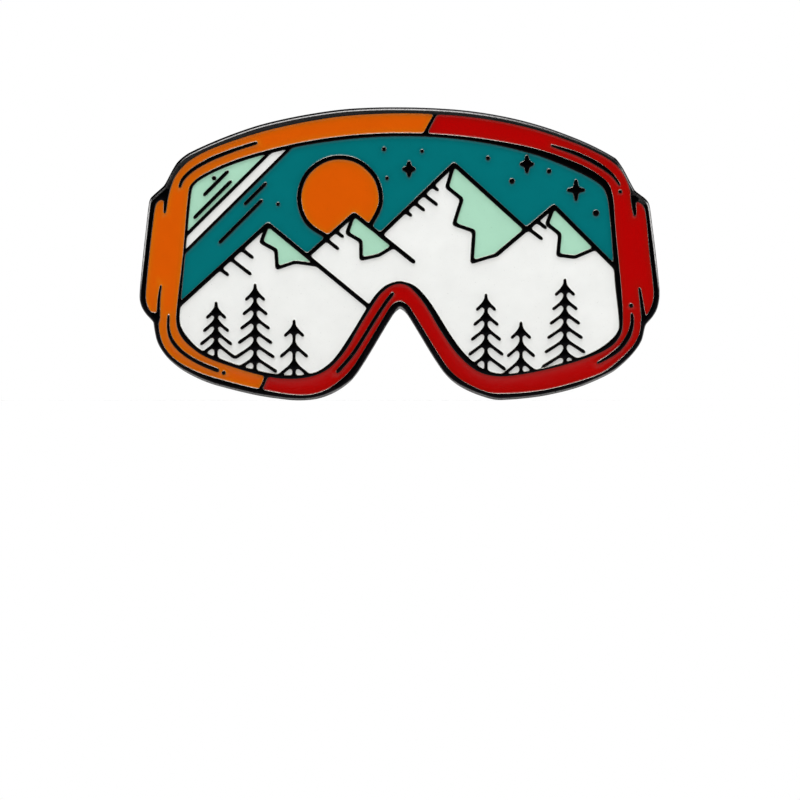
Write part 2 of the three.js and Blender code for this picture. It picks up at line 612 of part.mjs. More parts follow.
// A wing of the clutch, on its +X side: a jaw that grips the post, a fold, and a leaf for the finger.
function clutchWing() {
  const fold = curve([
    [0.79, 0.95], [0.8, 1.4], [1.3, 1.72], [2.2, 1.98], [3.4, 2.8], [4.6, 3.9], [5.1, 4.7],
  ]);
  const faces = [1, -1].map((sign) =>
    fold.map((p, i) => {
      const before = fold[i - 1] ?? p.clone().sub(new THREE.Vector2(0, 1));
      const after = fold[i + 1] ?? beyond(fold[i - 1], p);
      return mitre(before, p, after, (sign * SHEET) / 2);
    }),
  );
  const sheet = prism([...faces[1], ...faces[0].reverse()], -WING_HALF, WING_HALF);
  const leaf = [
    [0, -0.8], [1.9, -0.8], [2.3, -1.1], [2.75, -1.9], [3.4, -2.45],
    [4.3, -2.6], [5, -2.2], [5.45, -1.2], [5.6, 0],
  ];
  const mirrored = leaf.slice(0, -1).reverse().map(([x, z]) => [x, -z]);
  const plan = new THREE.Shape([...leaf, ...mirrored].map(point));
  const punch = new THREE.ExtrudeGeometry(plan, { depth: 2 * WING_HALF, bevelEnabled: false });
  return geometryOf(sheet.intersect(solidOf(punch.rotateX(-Math.PI / 2))).getMesh());
}

// ---------------------------------------------------------------- assembly

function mesh(name, geometry, look) {
  const made = new THREE.Mesh(geometry, new THREE.MeshStandardMaterial(look));
  made.name = name;
  return made;
}

const face = new THREE.Group();
face.rotation.x = Math.PI / 2;
face.add(mesh("die_struck_base", struckBase(), BLACK_NICKEL));
const fills = fields(POCKET_FLOOR + GAP, ENAMEL_TOP, GAP);
[frameCells, lensCells].forEach((cells, i) => {
  cellsOf(fills[i], cells).forEach((body, n) => face.add(mesh(cells[n][0], geometryOf(body), cells[n][1])));
});

const back = new THREE.Group();
[["left", -POST_X], ["right", POST_X]].forEach(([side, x]) => {
  const nail = mesh(`post_${side}`, post(), BRIGHT_NICKEL);
  nail.position.x = x;
  const clutch = new THREE.Group();
  clutch.position.set(x, CLOTH, 0);
  const inner = mesh(`clutch_${side}_wing_inner`, clutchWing(), BRIGHT_NICKEL);
  const outer = mesh(`clutch_${side}_wing_outer`, clutchWing(), BRIGHT_NICKEL);
  (x > 0 ? inner : outer).rotation.y = Math.PI;
  clutch.add(
    mesh(`clutch_${side}_shell`, clutchShell(), BRIGHT_NICKEL),
    mesh(`clutch_${side}_strip`, clutchStrip(), BRIGHT_NICKEL),
    inner,
    outer,
  );
  back.add(nail, clutch);
});

const pin = new THREE.Group();
pin.add(face, back);

export default pin;
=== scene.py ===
"""The looks of a soft enamel lapel pin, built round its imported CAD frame.

The struck metal, the enamel in its pockets, the posts and the clutches are all rebuilt here with round
edges and finer curves. Each new piece takes its outline or its place from the CAD node it stands for.

Drawn sizes are in millimetres, as [right, up] points seen from the front, with heights over the flat back
face. A height of 1 mm is at y = -1 mm in the row frame.
"""

import json
import math

import bmesh
import bpy
import numpy as np
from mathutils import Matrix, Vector, kdtree
from mathutils.geometry import delaunay_2d_cdt

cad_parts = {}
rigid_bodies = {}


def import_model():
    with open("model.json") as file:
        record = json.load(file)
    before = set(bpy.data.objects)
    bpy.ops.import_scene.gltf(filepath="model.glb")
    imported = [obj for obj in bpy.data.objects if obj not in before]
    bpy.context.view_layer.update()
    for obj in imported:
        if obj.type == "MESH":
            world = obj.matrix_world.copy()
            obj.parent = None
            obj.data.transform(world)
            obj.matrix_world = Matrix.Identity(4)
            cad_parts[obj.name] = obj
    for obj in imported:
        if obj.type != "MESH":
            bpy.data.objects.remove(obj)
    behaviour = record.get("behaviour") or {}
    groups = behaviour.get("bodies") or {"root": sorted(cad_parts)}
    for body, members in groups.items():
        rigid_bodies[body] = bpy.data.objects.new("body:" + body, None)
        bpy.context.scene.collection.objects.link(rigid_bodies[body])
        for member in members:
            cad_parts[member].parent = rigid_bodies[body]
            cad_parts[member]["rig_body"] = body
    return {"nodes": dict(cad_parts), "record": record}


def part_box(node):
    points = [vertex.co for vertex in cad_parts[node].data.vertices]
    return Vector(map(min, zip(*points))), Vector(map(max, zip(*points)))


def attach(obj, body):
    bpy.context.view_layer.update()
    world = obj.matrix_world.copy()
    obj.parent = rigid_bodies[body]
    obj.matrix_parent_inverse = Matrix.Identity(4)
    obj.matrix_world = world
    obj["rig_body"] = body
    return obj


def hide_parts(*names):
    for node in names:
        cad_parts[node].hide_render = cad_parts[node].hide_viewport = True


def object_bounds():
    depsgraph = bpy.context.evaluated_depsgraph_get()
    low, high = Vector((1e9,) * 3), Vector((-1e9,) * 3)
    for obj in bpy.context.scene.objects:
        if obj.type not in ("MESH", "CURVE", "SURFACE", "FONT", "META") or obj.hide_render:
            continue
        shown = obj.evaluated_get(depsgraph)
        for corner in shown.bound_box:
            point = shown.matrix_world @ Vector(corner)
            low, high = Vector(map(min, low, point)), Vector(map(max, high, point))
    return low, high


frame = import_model()
cad_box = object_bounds()
MM = 0.001
SLOTS = {part["node"]: part["material_slot"] for part in frame["record"]["subparts"]}

# ---------------------------------------------------------------- sizes, in mm

PLATE = -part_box("die_struck_base")[0].y / MM  # back face to the tops of the raised lines
RIM_DROP = 0.26  # how far the tumbled front edge of the rim falls away
RIM_REACH = 0.32  # and over what width
RIM_SHAPE = 1.35  # 1 would be a flat chamfer, and 2 a quarter ellipse
SIDE_TOP = 1.44  # the side is worn all over from this height down
BACK_ROUND = 0.07  # sheared back edge
BORDER = 0.9  # smooth border round the sandblasted back
BORDER_FADE = 0.12
SHOULDER = 0.05  # rounded top edge of a raised line, which stands outside the CAD's square edge
POCKET_FLOOR = 1.25
ENAMEL_FOOT = 1.262
ENAMEL_LEVEL = 1.62
FIT = 0.01  # the CAD keeps this much between enamel and metal, and poured enamel leaves none
CLIMB = 0.06  # how far the enamel creeps up a pocket's wall
CLIMB_REACH = 0.06
DISH = 0.025  # how far a wide pool sinks in its middle
DISH_REACH = 1.4
SEAT_DEPTH = 0.3

# how finely things are drawn
STEP = 0.09  # between points along an outline
FEWEST = 24  # points along the smallest outline
CORNER = math.radians(28)  # a sharper turn is a corner, and a gentler one is part of a curve
BULGE = 0.13  # most that a chord's length times its end's turn may be
FINER = 3  # curves are drawn this many times finer than STEP before their points are evened out
DOT_CORNERS, DOT_SIDES = 0.94, 0.8  # how evenly a round dot's corners and sides lie about its middle
STRAIGHT = 4e-4  # a point this near to the way between its neighbours adds nothing
ON_LINE = 1e-4  # a point this near to an outline is on it
SAME_POINT = 1e-6  # points this near to each other are one when a surface is filled
MERGE = 1e-7  # metres
TINY = 1e-9  # stands in for a length of zero
SHARP = 50  # degrees from which an edge is drawn sharp
PART_SHARP = 60  # and the same for posts and clutches

# ---------------------------------------------------------------- outlines


def area_of(points):
    x, z = points.T
    return 0.5 * float(np.sum(x * np.roll(z, -1) - z * np.roll(x, -1)))


def inside(points, outlines):
    """Which points lie inside an odd number of the outlines."""
    odd = np.zeros(len(points), bool)
    for line in outlines:
        for (ax, az), (bx, bz) in zip(line, np.roll(line, -1, 0)):
            if az != bz:
                crosses = (points[:, 1] < az) != (points[:, 1] < bz)
                odd ^= crosses & (points[:, 0] < ax + (points[:, 1] - az) * (bx - ax) / (bz - az))
    return odd


def cut_lines(node, height):
    """The closed outlines where a level plane crosses a CAD node, as arrays of [x, z] points in mm."""
    solid = bmesh.new()
    solid.from_mesh(frame["nodes"][node].data)
    bmesh.ops.remove_doubles(solid, verts=solid.verts, dist=MERGE)
    everything = [*solid.verts, *solid.edges, *solid.faces]
    plane = {"plane_co": (0, -height * MM, 0), "plane_no": (0, 1, 0)}
    found = bmesh.ops.bisect_plane(solid, geom=everything, dist=TINY, **plane)
    edges = [e for e in found["geom_cut"] if isinstance(e, bmesh.types.BMEdge)]
    near = {}
    for edge in edges:
        a, b = edge.verts
        near.setdefault(a, []).append(b)
        near.setdefault(b, []).append(a)
    lines = []
    while near:
        here = next(iter(near))
        walk = []
        while here in near:
            walk.append((here.co.x / MM, here.co.z / MM))
            here = next((n for n in near.pop(here) if n in near), None)
        lines.append(np.array(walk))
    solid.free()
    return [trimmed(line) for line in lines]


def trimmed(line):
    """The outline without the points that lie on the straight way between their neighbours."""
    while True:
        back, ahead = line - np.roll(line, 1, 0), np.roll(line, -1, 0) - line
        off = np.abs(back[:, 0] * ahead[:, 1] - back[:, 1] * ahead[:, 0])
        off /= np.maximum(np.linalg.norm(ahead + back, axis=1), TINY)
        drop = off < STRAIGHT
        drop &= ~np.roll(drop, 1) | (np.arange(len(line)) % 2 == 0)
        if not drop.any():
            return line
        line = line[~drop]


def wound(lines):
    """The outlines, turned so that what they enclose is on the left: outer ones run anticlockwise."""
    turned = []
    for i, line in enumerate(lines):
        others = lines[:i] + lines[i + 1 :]
        hole = bool(inside(line[:1], others)[0])
        turned.append(line[::-1] if (area_of(line) > 0) == hole else line)
    return turned


def run_along(points):
    """How far along the way through the points each of them is."""
    return np.concatenate([[0], np.cumsum(np.linalg.norm(np.diff(points, axis=0), axis=1))])


def evenly(line, step):
    """The outline with a point at every step or so."""
    closed = np.vstack([line, line[:1]])
    run = run_along(closed)
    count = max(FEWEST, round(run[-1] / step))
    places = np.linspace(0, run[-1], count, endpoint=False)
    return np.column_stack([np.interp(places, run, closed[:, k]) for k in (0, 1)])


def eased(line, passes):
    """The outline with each point drawn towards its neighbours, so that corners round off."""
    for _ in range(passes):
        line = (np.roll(line, 1, 0) + 2 * line + np.roll(line, -1, 0)) / 4
    return line


def ring_round(centre, radius, anticlockwise):
    """The outline of a dot or a round seat, which the CAD draws as a polygon."""
    count = max(FEWEST, round(2 * math.pi * radius / STEP))
    angle = np.linspace(0, 2 * math.pi, count, endpoint=False) * (1 if anticlockwise else -1)
    return centre + radius * np.column_stack([np.cos(angle), np.sin(angle)])


def hermite(t, start, leaving, end, arriving):
    """Points on the curve that leaves start and arrives at end with these slopes, as t goes from 0 to 1."""
    return (
        (2 * t**3 - 3 * t**2 + 1) * start
        + (t**3 - 2 * t**2 + t) * leaving
        + (3 * t**2 - 2 * t**3) * end
        + (t**3 - t**2) * arriving
    )


def rounded(line, passes=2):
    """A finer outline: curves through the gentle turns, and small rounds where the corners were.

    A polygon that stands for a dot or a round seat becomes a circle through its corners.
    """
    centre = (line.max(0) + line.min(0)) / 2
    corners = np.linalg.norm(line - centre, axis=1)
    sides = np.linalg.norm((line + np.roll(line, -1, 0)) / 2 - centre, axis=1)
    if corners.min() > DOT_CORNERS * corners.max() and sides.min() > DOT_SIDES * corners.max():
        return ring_round(centre, corners.max(), area_of(line) > 0)
    ahead = np.roll(line, -1, 0) - line
    length = np.linalg.norm(ahead, axis=1)
    way = np.arctan2(ahead[:, 1], ahead[:, 0])
    before = np.roll(length, 1)
    turn = (way - np.roll(way, 1) + math.pi) % (2 * math.pi) - math.pi
    turn[np.abs(turn) > CORNER] = 0
    most = BULGE / length
    leave = np.clip(-turn * length / (length + before), -most, most)
    arrive = np.clip(np.roll(turn, -1) * length / (length + np.roll(length, -1)), -most, most)
    points = []
    for i, start in enumerate(line):
        count = max(2, math.ceil(FINER * length[i] / STEP))
        t = (np.arange(count) / count)[:, None]
        leaving, arriving = (
            length[i] * np.array([math.cos(way[i] + a), math.sin(way[i] + a)])
            for a in (leave[i], arrive[i])
        )
        points.append(hermite(t, start, leaving, start + ahead[i], arriving))
    return evenly(eased(evenly(np.vstack(points), STEP), passes), STEP)


def normals_of(line):
    """Unit normals to the left of the way along an outline."""
    way = np.roll(line, -1, 0) - np.roll(line, 1, 0)
    way /= np.maximum(np.linalg.norm(way, axis=1, keepdims=True), TINY)
    return np.column_stack([-way[:, 1], way[:, 0]])


def outlines_of(node, height):
    """A node's cross-section as fine outlines."""
    return [rounded(line) for line in wound(cut_lines(node, height))]


def shifted(line, left, steps=3):
    """The outline, moved to its left, in steps short enough for its corners to round off on the way."""
    for _ in range(steps):
        line = evenly(eased(line + left / steps * normals_of(line), 1), STEP)
    return line


def tree_of(points):
    tree = kdtree.KDTree(len(points))
    for i, (x, z) in enumerate(points):
        tree.insert((x, z, 0), i)
    tree.balance()
    return tree


def distance_from(lines):
    """A function that gives each point's distance from the nearest of these outlines."""
    tree = tree_of(np.vstack([evenly(line, STEP / 4) for line in lines] + lines))

    def away(points):
        found = np.array([tree.find((x, z, 0))[2] for x, z in points])
        return np.where(found < ON_LINE, 0, found)

    return away


def facing_up(lines, points):
    """How far up the metal's wall faces at the outline nearest to each point, from -1 to 1."""
    tree = tree_of(np.vstack(lines))
    up = -np.vstack([normals_of(line) for line in lines])[:, 1]
    return up[[tree.find((x, z, 0))[1] for x, z in points]]


# ---------------------------------------------------------------- surfaces

ARC = (30, 60, 90)  # degrees round an edge at which it gets a row of points
ROW_KEPT = 0.93  # a row's point stays if it is at least this share of its offset from every outline
GRID_ROWS = 0.866  # the rows of a grid of even triangles lie this share of its spacing apart
GRID_CLEAR = 0.45  # a grid keeps this share of its spacing clear of the rows


def quarter_round(away, radius):
    """How far a rounded edge has dropped at a distance from its wall."""
    short = np.clip(radius - away, 0, radius)
    return radius - np.sqrt(np.maximum(radius**2 - short**2, 0))


def tumbled(away):
    """How far the rim has dropped at a distance from its outer edge."""
    left = np.clip(1 - away / RIM_REACH, 0, 1) ** RIM_SHAPE
    return RIM_DROP * (1 - (1 - left) ** (1 / RIM_SHAPE))


def rows_of(radius):
    """Where the rows of points along a rounded edge go, so that they split its arc evenly."""
    return [(radius * (1 - math.cos(math.radians(a))), 1) for a in ARC]


def field(lines, rows, grid, height):
    """A surface over what the outlines enclose, at the heights that `height` gives.

    rows holds, for each outline, (distance inwards, one point in how many). grid is the distance between
    the points further in.
    """
    away = distance_from(lines)
    points = list(lines)
    reach = 0
    for line, places in zip(lines, rows):
        left = normals_of(line)
        for offset, every in places:
            row = (line + offset * left)[::every]
            points.append(row[away(row) > ROW_KEPT * offset])
            reach = max(reach, offset)
    if grid:
        low, high = np.vstack(lines).min(0), np.vstack(lines).max(0)
        across, up = np.arange(low[0], high[0], grid), np.arange(low[1], high[1], grid * GRID_ROWS)
        xs, zs = np.meshgrid(across, up)
        xs[1::2] += grid / 2
        inner = np.column_stack([xs.ravel(), zs.ravel()])
        inner = inner[away(inner) > reach + GRID_CLEAR * grid]
        points.append(inner[inside(inner, lines)])
    rings, start = [], 0
    for line in lines:
        ring = list(range(start, start + len(line)))
        rings.append(ring if area_of(line) > 0 else ring[::-1])
        start += len(line)
    flat = [Vector(p) for p in np.vstack(points)]
    corners, _, faces, _, _, under = delaunay_2d_cdt(flat, [], rings, 0, SAME_POINT)
    kept = [face for face, covers in zip(faces, under) if len(covers) % 2 == 1]
    places = np.array([tuple(corner) for corner in corners])
    return np.column_stack([places, height(places, away(places))]), kept


def level(lines, height):
    """A flat surface over what the outlines enclose."""
    return field(lines, [[]] * len(lines), None, lambda places, _: np.full(len(places), height))


def wall(line, high, low):
    """The wall under an outline, between two heights. The upper one may be a list, one for each point."""
    count = len(line)
    rings = [np.column_stack([line, np.broadcast_to(h, count)]) for h in (high, low)]
    faces = [(i, (i + 1) % count, count + (i + 1) % count, count + i) for i in range(count)]
    return np.vstack(rings), faces


def closed_mesh(name, surfaces):
    """One closed mesh from surfaces whose edges meet."""
    solid = bmesh.new()
    for places, faces in surfaces:
        verts = [solid.verts.new((x * MM, -h * MM, z * MM)) for x, z, h in places.tolist()]
        for face in faces:
            solid.faces.new([verts[i] for i in face])
    bmesh.ops.remove_doubles(solid, verts=solid.verts, dist=MERGE)
    loose = [v for v in solid.verts if not v.link_faces]
    bmesh.ops.delete(solid, geom=loose, context="VERTS")
    bmesh.ops.recalc_face_normals(solid, faces=solid.faces)
    open_edges = sum(1 for e in solid.edges if len(e.link_faces) != 2)
    if open_edges:
        raise ValueError(f"{name} has {open_edges} edges that don't join two faces")
    return finished(name, solid, SHARP)


def finished(name, solid, sharp):
    """The mesh as an object, smooth but for its sharp edges."""
    mesh = bpy.data.meshes.new(name)
    solid.to_mesh(mesh)
    solid.free()
    mesh.shade_smooth()
    mesh.set_sharp_from_angle(angle=math.radians(sharp))
    made = bpy.data.objects.new(name, mesh)
    bpy.context.scene.collection.objects.link(made)
    return made


def points_of(made):
    """An object's points as rows of (right, up, height over the back) in mm."""
    return np.array([(v.co.x, v.co.z, -v.co.y) for v in made.data.vertices]) / MM


def attribute(made, name, values):
    """Writes a value at each point, for a material to read as a mask."""
    layer = made.data.attributes.new(name, "FLOAT", "POINT")
    layer.data.foreach_set("value", values.astype(np.float32))


def stands_for(made, node, look):
    """The new piece takes the node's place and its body."""
    made.data.materials.append(look)
    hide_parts(node)
    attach(made, frame["nodes"][node]["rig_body"])


# ---------------------------------------------------------------- materials


class Look:
    """A Principled material and the nodes that drive it."""

    def __init__(self, name, **settings):
        self.material = bpy.data.materials.new(name)
        self.material.use_nodes = True
        self.tree = self.material.node_tree
        self.shader = self.tree.nodes["Principled BSDF"]
        self.places = self.node("ShaderNodeTexCoord").outputs["Object"]
        for key, value in settings.items():
            self.shader.inputs[key.replace("_", " ")].default_value = value

    def node(self, kind, **settings):
        made = self.tree.nodes.new(kind)
        for key, value in settings.items():
            setattr(made, key, value)
        return made

    def link(self, out, into):
        self.tree.links.new(out, into)

    def noise(self, size_mm, detail=3.0, rough=0.55, stretch=(1, 1, 1)):
        """Noise from 0 to 1 whose blotches are about size_mm across."""
        mapping = self.node("ShaderNodeMapping")
        mapping.inputs["Scale"].default_value = stretch
        self.link(self.places, mapping.inputs["Vector"])
        made = self.node("ShaderNodeTexNoise")
        made.inputs["Scale"].default_value = 1 / (size_mm * MM)
        made.inputs["Detail"].default_value = detail
        made.inputs["Roughness"].default_value = rough
        self.link(mapping.outputs["Vector"], made.inputs["Vector"])
        return made.outputs["Fac"]

    def span(self, value, low, high, from_low=0.0, from_high=1.0):
        """The value, carried from one span to another and held inside it."""
        made = self.node("ShaderNodeMapRange")
        ends = {"From Min": from_low, "From Max": from_high, "To Min": low, "To Max": high}
        for key, number in ends.items():
            made.inputs[key].default_value = number
        self.link(value, made.inputs["Value"])
        return made.outputs["Result"]

    def feed(self, socket, value):
        """Sets a number or a colour on the socket, or links a node's output to it."""
        if isinstance(value, (int, float, tuple)):
            socket.default_value = value
        else:
            self.link(value, socket)

    def maths(self, operation, *values):
        made = self.node("ShaderNodeMath", operation=operation)
        for socket, value in zip(made.inputs, values):
            self.feed(socket, value)
        return made.outputs[0]

    def mix(self, share, first, second):
        """From one colour to another, each three numbers or a node's output."""
        made = self.node("ShaderNodeMix", data_type="RGBA")
        self.link(share, made.inputs["Factor"])
        for socket, value in ((made.inputs[6], first), (made.inputs[7], second)):
            self.feed(socket, (*value, 1) if isinstance(value, tuple) else value)
        return made.outputs[2]

    def mask(self, name):
        return self.node("ShaderNodeAttribute", attribute_name=name).outputs["Fac"]

    def bumps(self, *layers):
        """Surface relief from (value, depth in mm) layers."""
        normal = None
        for value, depth in layers:
            made = self.node("ShaderNodeBump")
            made.inputs["Distance"].default_value = depth * MM
            self.link(value, made.inputs["Height"])
            if normal:
                self.link(normal, made.inputs["Normal"])
            normal = made.outputs["Normal"]
        self.link(normal, self.shader.inputs["Normal"])

    def paint(self, colour):
        self.link(colour, self.shader.inputs["Base Color"])

    def polish(self, value):
        self.link(value, self.shader.inputs["Roughness"])


def tint(colour, share):
    """The colour, lighter or darker by a share."""
    return tuple(min(1.0, c * (1 + share)) for c in colour)


# for each slot, the enamel's own colour and the one that it turns to along the lines, as painted shade at
# the foot of the raised lines (amber in the orange)
ENAMEL_COLOURS = {
    "orange_enamel": ((0.7, 0.098, 0.0), (0.6, 0.19, 0.003)),
    "red_enamel": ((0.44, 0.0, 0.0), (0.33, 0.007, 0.002)),
    "teal_enamel": ((0.0, 0.163, 0.178), (0.0, 0.13, 0.142)),
    "mint_enamel": ((0.43, 0.74, 0.555), (0.4, 0.69, 0.51)),
    "white_enamel": ((0.9, 0.91, 0.885), (0.88, 0.89, 0.865)),
}
EDGE_TINT = 0.75  # how far the enamel takes its painted-shade colour at a line
EDGE_REACH = 0.2  # mm from the line in which that fades to about a third
SETTLED = (-0.07, 0.05)  # the least and most that the colour lightens where it settles unevenly
SPECKS = -0.28  # how much the colour lightens in its specks
SPECKS_FROM = (0.73, 0.8)  # noise at which a speck sets in and is full
ENAMEL_POLISH = (0.08, 0.2)  # least and most roughness

# darkest and lightest colour of each finish, the rim's colour where it is worn and painted with highlight,
# and the painted highlight on the lines' shoulders
BLACK_PLATE = ((0.002, 0.002, 0.0025), (0.006, 0.0055, 0.0065))
BLASTED_PLATE = ((0.012, 0.012, 0.0125), (0.04, 0.039, 0.041))
BRIGHT_PLATE = ((0.4, 0.388, 0.37), (0.56, 0.55, 0.53))
# the rim: worn plating, with painted highlight where it faces up
RIM_WEAR_AND_HIGHLIGHT = (0.24, 0.236, 0.232)
# painted highlight on the shoulders of the raised lines
PAINTED_LINE_HIGHLIGHT = (0.64, 0.6, 0.53)
RIM_GRAIN = (0.3, 0.5)  # noise at which the rim's wear and painted highlight set in and are full
LINE_HIGHLIGHT_PATCHES = (0.5, 1, 0.35, 0.6)  # least and most painted highlight along the lines, and the noise for each
BLACK_POLISH = (0.14, 0.28)
BLASTED_ROUGHER = 0.16
BRIGHT_POLISH = (0.24, 0.36)
HAZE = (0, 0.08)  # added to that where the plate is hazy


def enamel_look(name, colour, edge_colour):
    """Baked enamel: a glossy skin over a colour that settles a little unevenly, with a few specks, and
    painted shade along the lines.
    """
    look = Look(name, Coat_Weight=0.07, Coat_Roughness=0.05, Specular_IOR_Level=0.12)
    settled = look.mix(look.noise(2.6, 4), *(tint(colour, share) for share in SETTLED))
    specks = look.span(look.noise(0.11, 1), 0, 1, *SPECKS_FROM)
    dusty = look.mix(specks, settled, tint(colour, SPECKS))
    # painted shade along the raised lines: the enamel turns to its second colour there
    edge = look.span(look.mask("edge"), 0, EDGE_TINT)
    look.paint(look.mix(edge, dusty, edge_colour))
    look.polish(look.span(look.noise(0.9), *ENAMEL_POLISH))
    look.bumps((look.noise(1.5, 2), 0.008), (look.noise(0.22, 3), 0.002))
    return look.material


def black_nickel_look():
    """Black nickel plate: dark, worn bright and painted with highlight along the rim, painted with
    highlight on the shoulders of the lines, and sandblasted on the back.
    """
    look = Look("black_nickel_plate", Metallic=1.0)
    plate = look.mix(look.noise(1.2, 4), *BLACK_PLATE)
    blasted = look.mix(look.noise(0.2, 4, 0.7), *BLASTED_PLATE)
    plate = look.mix(look.mask("back"), plate, blasted)
    # the rim: worn plating with painted highlight, brighter on top and darker on the lower sides
    grain = look.span(look.noise(0.12, 4, 0.7), 0, 1, *RIM_GRAIN)
    rim_wear_and_highlight = look.mix(look.maths("MULTIPLY", look.mask("rim"), grain), plate, RIM_WEAR_AND_HIGHLIGHT)
    # painted highlight on the shoulders of the lines, in patches
    shoulder_highlight = look.mask("line")
    highlight_patches = look.span(look.noise(0.3, 3), *LINE_HIGHLIGHT_PATCHES)
    look.paint(look.mix(look.maths("MULTIPLY", shoulder_highlight, highlight_patches), rim_wear_and_highlight, PAINTED_LINE_HIGHLIGHT))
    plain = look.span(look.noise(0.35, 4), *BLACK_POLISH)
    sanded = look.maths("MULTIPLY", look.mask("back"), BLASTED_ROUGHER)
    look.polish(look.maths("ADD", plain, sanded))
    fine = look.noise(0.1, 5, 0.7)
    sand = look.maths("MULTIPLY", look.noise(0.16, 3, 0.65), look.mask("back"))
    dents = look.maths("MULTIPLY", look.noise(0.12, 4, 0.7), look.mask("rim"))
    look.bumps((fine, 0.002), (sand, 0.12), (dents, 0.012))
    return look.material


def bright_nickel_look(name, stretch):
    """Bright nickel plate on pressed or drawn parts, with the marks of their making along one way."""
    look = Look(name, Metallic=1.0)
    drawn = look.noise(0.5, 5, 0.65, stretch)
    hazy = look.noise(1.8, 4)
    look.paint(look.mix(hazy, *BRIGHT_PLATE))
    look.polish(look.maths("ADD", look.span(drawn, *BRIGHT_POLISH), look.span(hazy, *HAZE)))
    look.bumps((drawn, 0.006), (look.noise(0.09, 4), 0.002))
    return look.material


ENAMELS = {slot: enamel_look(slot, *colours) for slot, colours in ENAMEL_COLOURS.items()}
BLACK_NICKEL = black_nickel_look()
PRESSED = bright_nickel_look("bright_nickel_pressed", (1, 1, 0.12))
TURNED = bright_nickel_look("bright_nickel_turned", (1, 0.15, 1))

# ---------------------------------------------------------------- struck metal

RIM_SHARES = (0.06, 0.18, 0.34, 0.48, 0.6, 0.74, 0.88, 1, 1.12, 1.3)  # of RIM_REACH, one row each
FRONT_GRID = 0.45
BACK_GRID = 1.2
BACK_EVERY = 3  # the border of the back needs only one point in this many

# where the plating is worn, and where highlight and shade are painted on it. Spans run from no effect to
# full effect
SIDE_WORN = 0.4
RIM_BAND, RIM_FADE = 0.22, 0.06  # width in from the rim's edge, and the part of it that fades
TOP_BAND, TOP_FADE = (0.22, 0.4), 0.05  # along the top it lies between these instead
TOP_LESS = 0.25  # and is this much weaker
TOP_FACING = (0, 0.625)  # how far up the rim faces where it counts as the top
UNDER_FACING = (-0.65, -0.9)  # and as the underside
SPARED = 0.6  # the rim's band is this much narrower on the lower sides, as painted shade, but not on the underside
SPARED_HEIGHT = (-1, -4)  # mm up from the origin
SHOULDER_HIGHLIGHT_SPAN = (1, 0.375)  # a shoulder's painted highlight runs from here towards its wall, as shares of its width
SIDEWAYS, UPWARDS, LEAST = 0.75, 0.9, 0.1  # its painted highlight facing sideways, what facing up adds, the least


def ramp(value, none, full):
    """How far the value has come from none to full, held between 0 and 1."""
    return np.clip((value - none) / (full - none), 0, 1)


def by_size(lines):
    return sorted(lines, key=lambda line: -abs(area_of(line)))


def struck_metal():
    """The rim, the raised lines and the back, as one struck piece."""
    rim, *pockets = by_size(outlines_of("die_struck_base", (POCKET_FLOOR + ENAMEL_LEVEL) / 2))
    pockets = [shifted(line, -SHOULDER) for line in pockets]
    seats = by_size(outlines_of("die_struck_base", SEAT_DEPTH / 2))[1:]
    from_rim, from_pockets = distance_from([rim]), distance_from(pockets)

    def front(places, _):
        return PLATE - tumbled(from_rim(places)) - quarter_round(from_pockets(places), SHOULDER)

    def back(places, _):
        return quarter_round(from_rim(places), BACK_ROUND)

    rim_rows = [(RIM_REACH * share, 1) for share in RIM_SHARES]
    border_rows = [(BORDER, BACK_EVERY), (BORDER + BORDER_FADE, BACK_EVERY)]
    front_rows = [rim_rows] + [rows_of(SHOULDER)] * len(pockets)
    back_rows = [rows_of(BACK_ROUND) + border_rows] + [[]] * len(seats)
    surfaces = [
        field([rim, *pockets], front_rows, FRONT_GRID, front),
        wall(rim, PLATE - RIM_DROP, SIDE_TOP),
        wall(rim, SIDE_TOP, BACK_ROUND),
        field([rim, *seats], back_rows, BACK_GRID, back),
        level([line[::-1] for line in pockets], POCKET_FLOOR),
        level([line[::-1] for line in seats], SEAT_DEPTH),
    ]
    surfaces += [wall(line, front(line, None), POCKET_FLOOR) for line in pockets]
    surfaces += [wall(line, 0, SEAT_DEPTH) for line in seats]
    made = closed_mesh("struck_metal", surfaces)
    wear_and_highlight_masks(made, rim, pockets, from_rim, from_pockets)
    stands_for(made, "die_struck_base", BLACK_NICKEL)


def wear_and_highlight_masks(made, rim, pockets, from_rim, from_pockets):
    """Masks for the plating: the rim, worn and painted with highlight by which way it faces; the painted
    highlight on the lines' shoulders; and the sandblasted back.
    """
    points = points_of(made)
    places, height = points[:, :2], points[:, 2]
    to_rim, to_pockets = from_rim(places), from_pockets(places)

    # the rim's band is worn plating, widened on top as painted highlight and narrowed on the lower sides as
    # painted shade
    up = facing_up([rim], places)
    top, under = ramp(up, *TOP_FACING), ramp(up, *UNDER_FACING)
    spared = ramp(places[:, 1], *SPARED_HEIGHT) * (1 - under)
    begins = top * TOP_BAND[0]
    ends = RIM_BAND * (1 - SPARED * spared) + top * (TOP_BAND[1] - RIM_BAND)
    band = ramp(to_rim, ends, ends - RIM_FADE) * ramp(to_rim, begins - TOP_FADE, begins)
    side = (to_rim == 0) & (height < SIDE_TOP + ON_LINE)
    on_front = height > POCKET_FLOOR
    attribute(made, "rim", np.where(side, SIDE_WORN, band * (1 - TOP_LESS * top) * on_front))

    # painted highlight on the lines' shoulders: strong where they face up, faint where they face down
    on_shoulder = height > PLATE - SHOULDER / 2
    facing = np.clip(SIDEWAYS + UPWARDS * facing_up(pockets, places), LEAST, 1)
    attribute(made, "line", ramp(to_pockets / SHOULDER, *SHOULDER_HIGHLIGHT_SPAN) * on_shoulder * facing)

    on_back = height < BACK_ROUND / 2
    attribute(made, "back", on_back * ramp(to_rim, BORDER, BORDER + BORDER_FADE))


# ---------------------------------------------------------------- enamel

